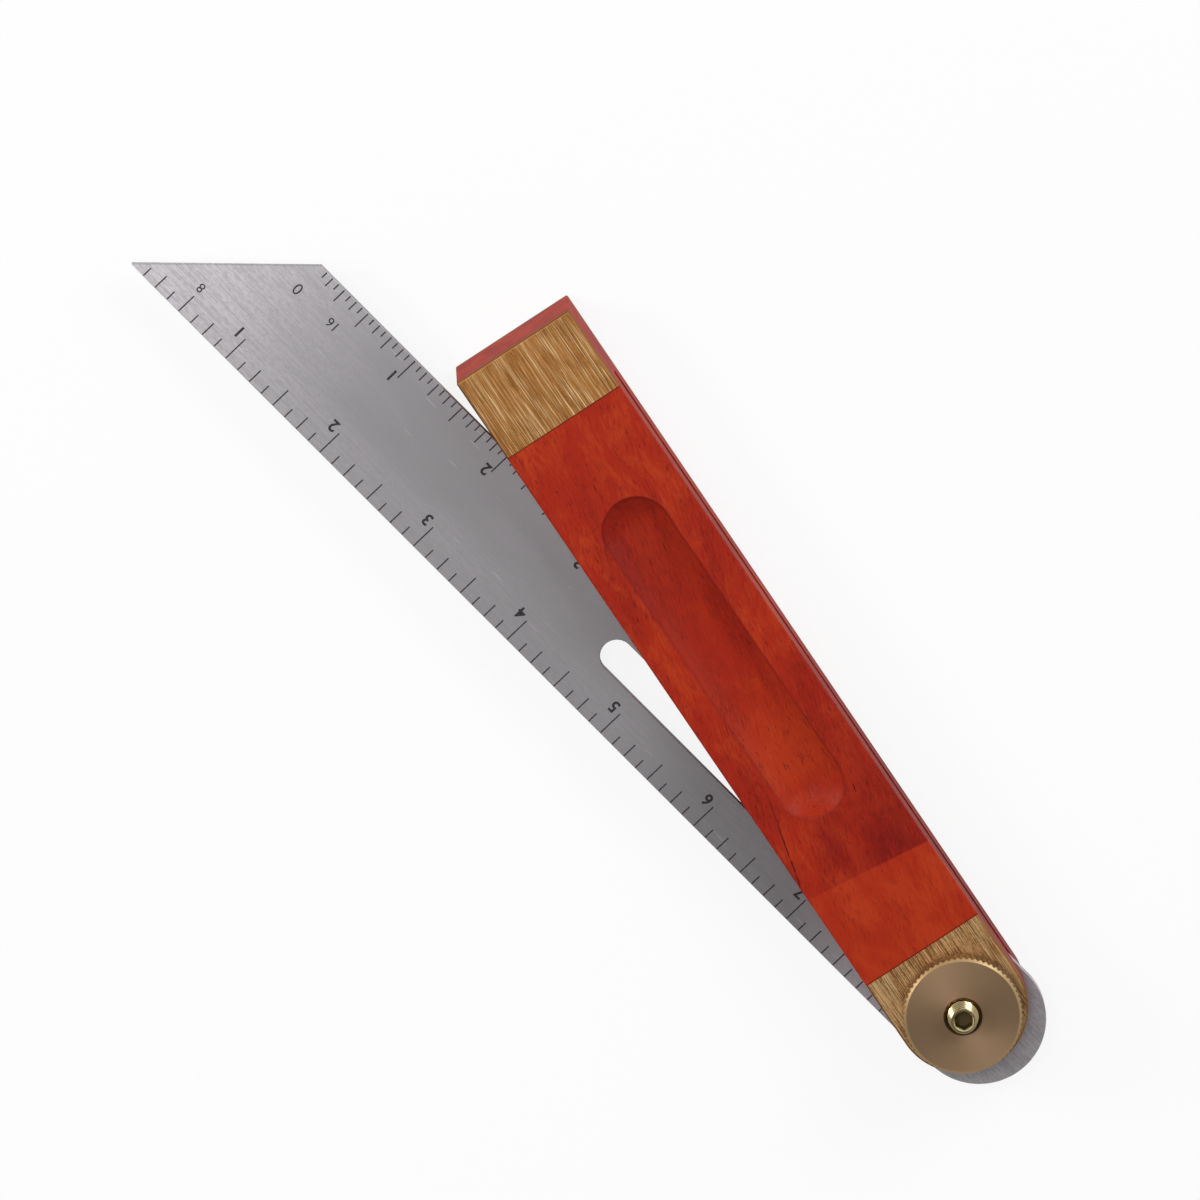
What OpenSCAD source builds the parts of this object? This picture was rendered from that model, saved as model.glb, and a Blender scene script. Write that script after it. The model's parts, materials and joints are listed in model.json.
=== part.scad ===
// Sliding bevel: a slotted steel blade that swings and slides in the kerf of a
// hardwood stock, and is clamped by a knurled brass nut on a threaded stud.
// The origin is on the stud's axis, in the plane of the stock's back face.
// +Z runs out through the nut and +X from the stud towards the stock's butt.

/* [Stock] */
// Length from the stud's axis to the butt
stock_l = 154.5; // [145:0.5:180]
// Width of the stock
stock_w = 25.4; // [22:0.2:29]
// Thickness of the stock
stock_t = 15; // [13:0.5:20]
// Radius of the eased edges
ease_r = 0.5; // [0.3:0.1:0.9]
// Solid wood left between the kerf and the butt
heel_l = 16; // [13:0.5:24]

/* [Finger scoops] */
// Length of each scoop
scoop_l = 72.5; // [50:0.5:80]
// Width of each scoop
scoop_w = 13.4; // [8:0.2:17]
// Depth of each scoop
scoop_depth = 2.3; // [0.8:0.1:2.6]
// From the butt to the scoop's near end
scoop_from_butt = 36; // [28:0.5:44]

/* [Brass plates] */
// Thickness of the four plates
plate_t = 1; // [0.6:0.1:1.6]
// Length of the plates at the butt
butt_plate_l = 17.4; // [10:0.2:22]
// From the stud's axis to the straight end of the plates round it
pivot_plate_l = 13.7; // [12:0.1:24]

/* [Blade] */
// Length from the pointed tip to the round tail
blade_l = 230.5; // [200:0.5:250]
// Width of the blade
blade_w = 25.4; // [22:0.2:30]
// Thickness of the blade
blade_t = 2; // [1.2:0.1:3]
// Angle of the cut at the tip
cut_angle = 45; // [35:1:60]
// From the round tail to the stud when the blade is drawn out
tail_to_stud = 18; // [16:0.5:24]
// How far the blade slides through the clamp
slide_travel = 95; // [60:1:110]

/* [Clamp] */
// Diameter of the stud
stud_d = 6; // [5:0.5:7]
// Stud left standing above the nut
stud_out = 3.6; // [3:0.1:8]
// Length of the slightly tapered lead at the stud's free end
stud_lead_l = 2.2; // [1:0.1:2.8]
// Diameter of the stud's flush head
stud_head_d = 12.6; // [11:0.2:16]
// Thickness of the stud's flush head
stud_head_t = 2.2; // [1.6:0.1:3]
// Hex socket in the stud's free end, across its flats
hex_af = 3; // [2:0.5:3]
// Depth of the hex socket
hex_depth = 3; // [2:0.5:4]
// Diameter of the nut over its knurl
nut_d = 22.8; // [18:0.1:25]
// Height of the nut
nut_h = 5.6; // [5:0.1:9]
// Number of teeth round the nut
nut_teeth = 64; // [40:1:90]
// Depth of the teeth
tooth_depth = 0.3; // [0.2:0.05:0.6]
// Diameter of the washer under the nut
nut_washer_d = 16; // [12:0.5:18]
// Thickness of the washer under the nut
nut_washer_t = 0.8; // [0.6:0.1:1.6]
// Diameter of the thin washers beside the blade
shim_d = 18; // [14:0.5:22]
// Thickness of the thin washers beside the blade
shim_t = 0.3; // [0.2:0.05:0.6]

/* [Fits] */
// Running play between the blade, its washers and the kerf, on each face
kerf_play = 0.05; // [0.02:0.01:0.1]
// Play round the stud in the thin washers and the nut, on the radius
stud_play = 0.05; // [0.02:0.01:0.1]
// Clearance round the stud in the wood, plates, slot and nut washer
hole_clear = 0.2; // [0.1:0.05:0.4]
// Clearance round the stud's head
head_clear = 0.1; // [0.05:0.05:0.3]
// Gap between the folded blade and the kerf's closed end
stop_gap = 0.3; // [0.2:0.1:1]

/* [Hidden] */

over = 1;                                  // how far a cutter runs past a face
round_fn = 96;

mid_z = stock_t / 2;                       // the blade's middle plane
kerf_h = blade_t + 2 * shim_t + 4 * kerf_play;
kerf_end_x = stock_l - heel_l;
stud_hole_r = stud_d / 2 + hole_clear;
head_hole_r = stud_head_d / 2 + head_clear;

// A ball of this radius sinks scoop_depth below the face and leaves scoop_w.
scoop_ball_r = (pow(scoop_w / 2, 2) + pow(scoop_depth, 2)) / (2 * scoop_depth);
scoop_near_x = stock_l - scoop_from_butt - scoop_w / 2;
scoop_far_x = scoop_near_x - (scoop_l - scoop_w);

// The folded blade's inner edge stops just short of the kerf's closed end.
heel_corner_r = norm([kerf_end_x, stock_w / 2]);
heel_corner_angle = atan2(stock_w / 2, kerf_end_x);
rest_angle = heel_corner_angle + asin((blade_w / 2 + stop_gap) / heel_corner_r);

slot_r = stud_hole_r;
slot_over = 1;                             // slot left beyond the stud when drawn out
tip_x = blade_l - tail_to_stud;
tail_x = blade_w / 2 - tail_to_stud;
heel_of_cut_x = tip_x - blade_w / tan(cut_angle);

shim_front_z = mid_z + blade_t / 2 + kerf_play;
shim_back_z = mid_z - blade_t / 2 - kerf_play - shim_t;

nut_washer_z = stock_t;
nut_z = nut_washer_z + nut_washer_t;
stud_top_z = nut_z + nut_h + stud_out;
stud_lead = 0.45;                          // taken off the radius along the lead
stud_chamfer = 0.2;
hex_mouth = 0.25;                          // chamfer round the hex socket
stud_head_ease = 0.2;

nut_boss_d = nut_washer_d;
nut_boss_h = 0.6;
nut_chamfer = 0.65;
nut_mouth = 0.65;                          // chamfer round the nut's thread

// A bar's cross-section with eased corners, from exact squares and circles.
module eased_rect(w, h, r) {
    translate([r, 0]) square([w - 2 * r, h]);
    translate([0, r]) square([w, h - 2 * r]);
    for (x = [r, w - r], y = [r, h - r])
        translate([x, y]) circle(r = r, $fn = round_fn);
}

// The stock's whole outer form, before anything is let into it.
module stock_form() {
    intersection() {
        rotate([90, 0, 90]) linear_extrude(stock_l)
            translate([-stock_w / 2, 0]) eased_rect(stock_w, stock_t, ease_r);
        translate([-stock_w, stock_w, 0]) rotate([90, 0, 0]) linear_extrude(2 * stock_w)
            eased_rect(stock_w + stock_l, stock_t, ease_r);
        translate([-stock_w, -stock_w / 2, 0]) linear_extrude(stock_t)
            eased_rect(stock_w + stock_l, stock_w, ease_r);
    }
    rotate([0, 0, 90]) rotate_extrude(angle = 180, $fn = round_fn) intersection() {
        translate([-stock_w / 2, 0]) eased_rect(stock_w, stock_t, ease_r);
        square([stock_w, stock_t]);
    }
}

// The layer of the stock's form that a plate fills, from x0 to x1 above z0.
module plate_layer(x0, x1, z0) {
    intersection() {
        stock_form();
        translate([x0, -stock_w, z0]) cube([x1 - x0, 2 * stock_w, plate_t]);
    }
}

module butt_plate(z0) {
    plate_layer(stock_l - butt_plate_l, stock_l + over, z0);
}

module pivot_plate(z0, hole_r) {
    difference() {
        plate_layer(-stock_w, pivot_plate_l, z0);
        translate([0, 0, z0 - over]) cylinder(r = hole_r, h = plate_t + 2 * over, $fn = round_fn);
    }
}

// The room for one plate, cut right out of the stock.
module plate_room(x0, x1, z0, z1) {
    translate([x0, -stock_w, z0]) cube([x1 - x0, 2 * stock_w, z1 - z0]);
}

module scoop(z) {
    for (x = [scoop_near_x, scoop_far_x])
        translate([x, 0, z]) sphere(r = scoop_ball_r, $fn = round_fn);
    translate([scoop_far_x, 0, z]) rotate([0, 90, 0])
        cylinder(r = scoop_ball_r, h = scoop_near_x - scoop_far_x, $fn = round_fn);
}

module stock() {
    color([0.68, 0.22, 0.12]) difference() {
        stock_form();
        for (z = [[-over, plate_t], [stock_t - plate_t, stock_t + over]]) {
            plate_room(stock_l - butt_plate_l, stock_l + over, z[0], z[1]);
            plate_room(-stock_w, pivot_plate_l, z[0], z[1]);
        }
        translate([-stock_w, -stock_w, mid_z - kerf_h / 2])
            cube([stock_w + kerf_end_x, 2 * stock_w, kerf_h]);
        translate([0, 0, -over]) cylinder(r = stud_hole_r, h = stock_t + 2 * over, $fn = round_fn);
        translate([0, 0, -over]) cylinder(r = head_hole_r, h = stud_head_t + over, $fn = round_fn);
        scoop(stock_t - scoop_depth + scoop_ball_r);
        scoop(scoop_depth - scoop_ball_r);
    }
}

module butt_plate_front() { color([0.72, 0.55, 0.30]) butt_plate(stock_t - plate_t); }

module butt_plate_back() { color([0.72, 0.55, 0.30]) butt_plate(0); }

module pivot_plate_front() { color([0.72, 0.55, 0.30]) pivot_plate(stock_t - plate_t, stud_hole_r); }

module pivot_plate_back() { color([0.72, 0.55, 0.30]) pivot_plate(0, head_hole_r); }

// Flush head at the back, plain shank, tapered lead and chamfer at the free end,
// which holds a hex socket.
module clamp_stud() {
    head_r = stud_head_d / 2;
    r = stud_d / 2;
    hex_r = hex_af / 2 / cos(30);
    color([0.80, 0.66, 0.38]) difference() {
        rotate_extrude($fn = round_fn) polygon([
            [0, 0], [head_r, 0], [head_r, stud_head_t - stud_head_ease],
            [head_r - stud_head_ease, stud_head_t], [r, stud_head_t],
            [r, stud_top_z - stud_lead_l], [r - stud_lead, stud_top_z - stud_chamfer],
            [r - stud_lead - stud_chamfer, stud_top_z], [0, stud_top_z],
        ]);
        translate([0, 0, stud_top_z - hex_depth])
            cylinder(r = hex_r, h = hex_depth + over, $fn = 6);
        translate([0, 0, stud_top_z - hex_mouth])
            cylinder(r1 = hex_r, r2 = hex_r + hex_mouth, h = hex_mouth, $fn = round_fn);
    }
}

module flat_washer(outer_d, hole_r, thick, z0) {
    translate([0, 0, z0]) difference() {
        cylinder(d = outer_d, h = thick, $fn = round_fn);
        translate([0, 0, -over]) cylinder(r = hole_r, h = thick + 2 * over, $fn = round_fn);
    }
}

module blade_washer_front() {
    color([0.70, 0.68, 0.64]) flat_washer(shim_d, stud_d / 2 + stud_play, shim_t, shim_front_z);
}

module blade_washer_back() {
    color([0.70, 0.68, 0.64]) flat_washer(shim_d, stud_d / 2 + stud_play, shim_t, shim_back_z);
}

// The blade lies along +X here, with its pointed tip on the +Y edge.
module blade_outline() {
    difference() {
        union() {
            polygon([
                [tail_x, -blade_w / 2], [heel_of_cut_x, -blade_w / 2],
                [tip_x, blade_w / 2], [tail_x, blade_w / 2],
            ]);
            translate([tail_x, 0]) circle(d = blade_w, $fn = round_fn);
        }
        for (x = [-slot_over, slide_travel - slot_over])
            translate([x, 0]) circle(r = slot_r, $fn = round_fn);
        translate([-slot_over, -slot_r]) square([slide_travel, 2 * slot_r]);
    }
}

module blade() {
    color([0.62, 0.62, 0.62]) rotate([0, 0, rest_angle])
        translate([0, 0, mid_z - blade_t / 2]) linear_extrude(blade_t) blade_outline();
}

module nut_washer() {
    color([0.72, 0.55, 0.30]) flat_washer(nut_washer_d, stud_hole_r, nut_washer_t, nut_washer_z);
}

// Straight V teeth: alternate points on the crest and root circles.
module knurl_outline() {
    step = 180 / nut_teeth;
    polygon([
        for (i = [0 : 2 * nut_teeth - 1])
            let (r = nut_d / 2 - (i % 2) * tooth_depth)
            [r * cos(i * step), r * sin(i * step)]
    ]);
}

module knurled_nut() {
    rim_r = nut_d / 2;
    bore_r = stud_d / 2 + stud_play;
    color([0.60, 0.46, 0.30]) translate([0, 0, nut_z]) difference() {
        union() {
            cylinder(d = nut_boss_d, h = nut_boss_h, $fn = round_fn);
            intersection() {
                translate([0, 0, nut_boss_h]) linear_extrude(nut_h - nut_boss_h) knurl_outline();
                rotate_extrude($fn = round_fn) polygon([
                    [0, nut_boss_h], [rim_r - nut_chamfer, nut_boss_h],
                    [rim_r + over, nut_boss_h + nut_chamfer + over],
                    [rim_r + over, nut_h - nut_chamfer - over],
                    [rim_r - nut_chamfer, nut_h], [0, nut_h],
                ]);
            }
        }
        translate([0, 0, -over]) cylinder(r = bore_r, h = nut_h + 2 * over, $fn = round_fn);
        translate([0, 0, nut_h - nut_mouth])
            cylinder(r1 = bore_r, r2 = bore_r + nut_mouth, h = nut_mouth, $fn = round_fn);
    }
}

stock();
butt_plate_front();
butt_plate_back();
pivot_plate_front();
pivot_plate_back();
clamp_stud();
blade_washer_front();
blade_washer_back();
blade();
nut_washer();
knurled_nut();
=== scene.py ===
"""A sliding bevel: a hardwood stock with brass plates let in, a slotted steel rule
blade that swings and slides in its kerf, and a knurled brass nut on a threaded stud.

Shapes are worked out in millimetres, in the row frame: the origin is on the stud's axis
in the plane of the stock's back, +X runs to the stock's butt and +Z out through the nut.
"""
import json
import math

import bmesh
import bpy
import numpy as np
from bpy.props import (FloatProperty, FloatVectorProperty, IntProperty,
                       PointerProperty)
from mathutils import Matrix, Vector


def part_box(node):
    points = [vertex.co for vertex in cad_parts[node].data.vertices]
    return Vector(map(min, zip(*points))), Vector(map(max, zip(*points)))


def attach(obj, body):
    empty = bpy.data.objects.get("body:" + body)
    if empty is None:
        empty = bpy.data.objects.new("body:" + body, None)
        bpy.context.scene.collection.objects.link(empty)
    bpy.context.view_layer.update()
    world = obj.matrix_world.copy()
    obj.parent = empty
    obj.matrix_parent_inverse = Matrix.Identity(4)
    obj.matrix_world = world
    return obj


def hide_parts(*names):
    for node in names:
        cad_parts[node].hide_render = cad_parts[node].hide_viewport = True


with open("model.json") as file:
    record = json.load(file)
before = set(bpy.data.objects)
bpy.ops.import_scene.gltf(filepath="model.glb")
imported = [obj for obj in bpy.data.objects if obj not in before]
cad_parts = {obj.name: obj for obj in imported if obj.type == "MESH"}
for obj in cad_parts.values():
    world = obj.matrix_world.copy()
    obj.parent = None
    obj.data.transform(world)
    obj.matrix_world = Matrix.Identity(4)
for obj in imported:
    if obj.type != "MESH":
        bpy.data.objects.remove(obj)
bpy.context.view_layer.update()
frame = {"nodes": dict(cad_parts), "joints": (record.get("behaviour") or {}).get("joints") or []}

bl_info = {
    "name": "Sliding bevel",
    "version": (1, 0, 0),
    "blender": (4, 5, 0),
    "location": "View3D > Sidebar > Bevel",
    "description": "Builds the looks of a sliding bevel round its packed frame",
    "category": "Add Mesh",
}

MM = 0.001


def node_box(name):
    """Lowest and highest corner of a CAD node, in millimetres."""
    low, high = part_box(name)
    return np.array(low) / MM, np.array(high) / MM


def vertices(mesh):
    """Points (n, 3) of a mesh, in millimetres."""
    co = np.empty(len(mesh.vertices) * 3)
    mesh.vertices.foreach_get("co", co)
    return co.reshape(-1, 3) / MM


def blade_direction():
    """Unit vector from the stud to the blade's tip at rest, from the slide's axis."""
    slide = next(j for j in frame["joints"] if j["name"] == "blade_slide")
    along = -np.array(slide["axis"][:2])
    return along / np.hypot(*along)


LENGTH, HALF_WIDTH, TOP = node_box("stock")[1]
BUTT_X = node_box("butt_plate_front")[0][0]
PIVOT_X = node_box("pivot_plate_front")[1][0]
PLATE_T = TOP - node_box("butt_plate_front")[0][2]
STUD_HEAD_R, _, STUD_TOP = node_box("clamp_stud")[1]
(_, _, NUT_BOTTOM), (NUT_R, _, NUT_TOP) = node_box("knurled_nut")
NUT_WASHER_R = node_box("nut_washer")[1][0]
(_, _, BLADE_BOTTOM), (_, _, BLADE_TOP) = node_box("blade")
ALONG = blade_direction()
ACROSS = np.array([-ALONG[1], ALONG[0]])


def blade_reach():
    """Tail end, tip and half width of the CAD blade in its own axes."""
    flat = vertices(frame["nodes"]["blade"].data)[:, :2]
    return (flat @ ALONG).min(), (flat @ ALONG).max(), (flat @ ACROSS).max()


TAIL_END, TIP_X, BLADE_HALF = blade_reach()


# ---------------- settings

def length(name, description, default_mm):
    return FloatProperty(name=name, description=description, default=default_mm * MM,
                         unit="LENGTH", precision=5)


def brightness(name, description, default):
    return FloatProperty(name=name, description=description, default=default, min=0.0)


def colour(name, description, default):
    return FloatVectorProperty(name=name, description=description, default=default,
                               subtype="COLOR", size=3, min=0.0, max=1.0)


class BEVEL_PG_stock(bpy.types.PropertyGroup):
    ease: length("Eased edge", "Radius of the stock's eased edges", 0.4)
    kerf_end: length("Kerf end", "Where the kerf stops, from the stud", 138.5)
    kerf_play: length("Kerf play", "Room between a thin washer and the kerf", 0.05)
    stud_hole: length("Stud hole", "Radius of the hole for the stud", 3.2)
    head_hole: length("Head hole", "Radius of the hole for the stud's head", 6.4)
    head_deep: length("Head depth", "Depth of the hole for the stud's head", 2.2)
    scoop_near: length("Scoop end", "End of the scoop nearest the butt", 118.5)
    scoop_length: length("Scoop length", "Length of each finger scoop", 72.5)
    scoop_width: length("Scoop width", "Width of each finger scoop", 13.4)
    scoop_depth: length("Scoop depth", "Depth of each finger scoop", 2.3)
    scoop_soft: length("Scoop edge", "Radius worn on the scoop's edge", 0.15)
    plate_gap: length("Plate joint", "Hairline between a plate's end and the wood", 0.03)
    red: colour("Red", "Main colour of the wood", (0.380, 0.0215, 0.0072))
    orange: colour("Orange", "Lightest colour of the wood", (0.50, 0.050, 0.011))
    dark: colour("Dark", "Dark purplish streaks of the wood", (0.195, 0.0085, 0.0062))
    pore: colour("Pore", "Colour in the wood's open pores", (0.055, 0.006, 0.005))
    # painted shade: a darker, more orange tint laid over the lit wall at each scoop's pivot end
    cut: colour("Cut grain", "Wood at the scoops' pivot ends", (0.37, 0.021, 0.0035))


class BEVEL_PG_brass(bpy.types.PropertyGroup):
    plate: colour("Plate", "Main colour of the brushed plates", (0.58, 0.264, 0.079))
    plate_dark: colour("Plate shade", "Browned brass on the plates", (0.30, 0.120, 0.034))
    plate_light: colour("Plate streak", "Brightest brush streaks", (1.0, 0.80, 0.45))
    # painted light: a paler brass laid on the plates towards the pivot, making up for lamp light
    # that falls off there
    plate_rubbed: colour("Plate rubbed", "Paler brass at the pivot", (1.0, 0.59, 0.26))
    nut: colour("Nut", "Turned brass of the nut", (0.60, 0.385, 0.225))
    nut_rim: colour("Nut rim", "Bare brass on the nut's chamfer", (0.58, 0.39, 0.19))
    stud: colour("Stud", "Bright machined brass of the stud", (0.64, 0.52, 0.27))
    # painted shade: the dark colour laid inside the hex socket
    socket: colour("Socket", "Dull brass inside the hex socket", (0.17, 0.125, 0.058))


class BEVEL_PG_blade(bpy.types.PropertyGroup):
    edge: length("Edge break", "Chamfer along the blade's edges", 0.1)
    slot_radius: length("Slot radius", "Half the width of the slot", 3.2)
    slot_start: length("Slot start", "First centre of the slot, from the stud", -1.0)
    slot_end: length("Slot end", "Last centre of the slot, from the stud", 94.0)
    inch: length("Inch", "Distance between numbered marks", 25.4)
    line: length("Line", "Width of an etched line", 0.26)
    digit: length("Digit", "Height of the etched digits", 2.4)
    steel: colour("Steel", "Satin steel of the blade", (0.77, 0.735, 0.765))
    etch: colour("Etch", "Dark etched marks", (0.030, 0.026, 0.030))


class BEVEL_PG_clamp(bpy.types.PropertyGroup):
    stud_radius: length("Stud radius", "Outer radius of the thread", 3.0)
    pitch: length("Pitch", "Thread pitch", 1.0)
    thread_depth: length("Thread depth", "Depth of the thread", 0.55)
    thread_from: length("Thread start", "Height at which the thread starts", 13.0)
    lead_length: length("Lead", "Length of the tapered lead at the free end", 3.4)
    lead_depth: length("Lead taper", "Taken off the radius along the lead", 0.48)
    end_chamfer: length("End chamfer", "Chamfer round the stud's end", 0.12)
    head_height: length("Head height", "Thickness of the stud's flush head", 2.2)
    hex_flats: length("Hex socket", "Across the flats of the socket", 3.1)
    hex_mouth: length("Hex mouth", "Radius of the countersink round the socket", 1.98)
    hex_depth: length("Hex depth", "Depth of the hex socket", 3.0)
    nut_radius: length("Nut radius", "Radius over the nut's teeth", 11.4)
    teeth: IntProperty(name="Teeth", description="Teeth round the nut", default=64)
    tooth: length("Tooth", "Depth of a tooth", 0.30)
    chamfer: length("Chamfer", "Chamfer on the nut's rims", 0.65)
    nut_gap: length("Nut seat", "Hairline between the nut and its washer", 0.02)


class BEVEL_PG_stage(bpy.types.PropertyGroup):
    floor: colour("Floor", "Colour of the floor", (0.92, 0.92, 0.92))
    mirrored: brightness("Mirrored floor", "Strength of the floor in metal", 0.5)
    zenith: brightness("Zenith", "Strength of the sky overhead", 0.16)
    horizon_near: brightness("Bright horizon", "Strength of the low +X -Y sky", 1.0)
    horizon_far: brightness("Dim horizon", "Strength of the low sky opposite", 0.35)
    white: brightness("White floor", "Share of plain white in the floor as seen", 0.87)
    lens: FloatProperty(name="Lens", description="Focal length of the camera",
                        default=541.944, unit="CAMERA")


# ---------------- meshes

def put(name, data):
    """A new object in the scene."""
    thing = bpy.data.objects.new(name, data)
    bpy.context.scene.collection.objects.link(thing)
    return thing


class Shell:
    """One closed skin made of patches that are welded where their edges meet. over, if
    there is one, turns the points of a patch to their place."""

    def __init__(self, over=None):
        self.points, self.faces, self.total, self.over = [], [], 0, over

    def add(self, points, *face_sets):
        """Adds points (n, 3) and sets of faces (m, corners) that count them from 0."""
        for faces in face_sets:
            self.faces.extend((np.asarray(faces) + self.total).tolist())
        self.points.append(self.over(points) if self.over else points)
        self.total += len(points)

    def grid(self, surface, loop=False):
        """Adds points (n, k, 3) as quads between neighbours; loop joins the last
        row to the first."""
        n, k = surface.shape[:2]
        index = np.arange(n * k).reshape(n, k)
        if loop:
            index = np.vstack([index, index[:1]])
        quads = np.stack([index[:-1, :-1], index[1:, :-1], index[1:, 1:],
                          index[:-1, 1:]], -1)
        self.add(surface.reshape(-1, 3), quads.reshape(-1, 4))

    def face(self, outline):
        """Adds one flat face with this outline (n, 3)."""
        self.add(outline, [np.arange(len(outline))])

    def piece(self, name, body, slot, material, sharp=30.0):
        """Welds the patches, turns the faces outwards, evens the normals and puts the
        mesh in the scene on a CAD body."""
        mesh = bpy.data.meshes.new(name)
        mesh.from_pydata((np.concatenate(self.points) * MM).tolist(), [], self.faces)
        welded = bmesh.new()
        welded.from_mesh(mesh)
        bmesh.ops.remove_doubles(welded, verts=welded.verts, dist=2e-7)
        bmesh.ops.recalc_face_normals(welded, faces=welded.faces)
        welded.to_mesh(mesh)
        welded.free()
        mesh.validate()
        mesh.shade_smooth()
        mesh.set_sharp_from_angle(angle=math.radians(sharp))
        mesh.materials.append(material)
        piece = put(name, mesh)
        even = piece.modifiers.new("even_normals", "WEIGHTED_NORMAL")
        even.keep_sharp = True
        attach(piece, body)
        return piece


def heading(degrees):
    """Unit vectors in the XY plane at these angles."""
    angle = np.radians(degrees)
    return np.stack([np.cos(angle), np.sin(angle)], -1)


def full_turn(count):
    """Angles in degrees of this many places round a circle."""
    return np.arange(count) * 360 / count


def at_level(flat, height):
    """Flat points (..., 2) lifted to one height, or each to its own."""
    height = np.broadcast_to(height, flat.shape[:-1])
    return np.concatenate([flat, height[..., None]], -1)


def rim(inset, out, spread, level):
    """Skin round an outline: point = inset + out * spread, at height level.
    inset and out are (n, 2); spread is (k,) and level (k,) or (n, k)."""
    return at_level(inset[:, None] + out[:, None] * spread[:, None], level)


def spun(degrees, radius, level):
    """Skin round the Z axis at these angles (n,); radius and level are (k,) or
    (n, k)."""
    return at_level(heading(degrees)[:, None] * radius[..., None], level)


def eased(radius, levels):
    """Spread and level down a quarter-round edge at the top, then at more levels."""
    a = np.linspace(0, math.pi / 2, 9)
    return (np.append(radius * np.sin(a), np.full(len(levels), radius)),
            np.append(TOP - radius * (1 - np.cos(a)), levels))


def half_faces(shell, rim_half, hole_half, height):
    """Two flat faces, one on each side of the X axis, between an outer and an inner
    half outline that both run from +X to -X."""
    outline = np.vstack([rim_half, hole_half[::-1]])
    for side in (1, -1):
        shell.face(at_level(outline * (1, side), height))


def long_half(near, far, between=0):
    """Centres and directions round a long hole's outline over +Y, from the centre of
    its end at x = near to the one at far, with some points between them."""
    quarter = np.linspace(0, 90, 25)
    x = np.concatenate([0 * quarter + near, np.linspace(near, far, between),
                        0 * quarter + far])
    turn = np.concatenate([quarter, [90] * between, quarter + 90])
    return np.column_stack([x, 0 * x]), heading(turn)


HALF_TURN = np.linspace(0, 180, 49)


def bore_wall(shell, path):
    """The wall of a round hole about the Z axis along an (r, z) path."""
    radius, level = np.array(path).T
    shell.grid(spun(np.append(HALF_TURN, HALF_TURN - 180), radius, level))


def turned_over(points):
    """Mirrors the front half of the stock to its back."""
    return points * (1, 1, -1) + (0, 0, TOP)


# ---------------- node materials

def arithmetic(operation, swapped=False):
    """A method that joins its value to another one, or to none, by a Math node."""
    def method(self, *other):
        values = (*other, self) if swapped else (self, *other)
        return self.finish.maths(operation, *values)
    return method


class Wire:
    """A shader value. Arithmetic on it adds Math nodes."""

    __array_ufunc__ = None      # so that numpy's numbers leave the arithmetic to it
    __add__ = __radd__ = arithmetic("ADD")
    __mul__ = __rmul__ = arithmetic("MULTIPLY")
    __sub__, __rsub__ = arithmetic("SUBTRACT"), arithmetic("SUBTRACT", swapped=True)
    __truediv__ = arithmetic("DIVIDE")
    __pow__ = arithmetic("POWER")
    __abs__ = arithmetic("ABSOLUTE")

    def __init__(self, finish, socket):
        self.finish, self.socket = finish, socket


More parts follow.
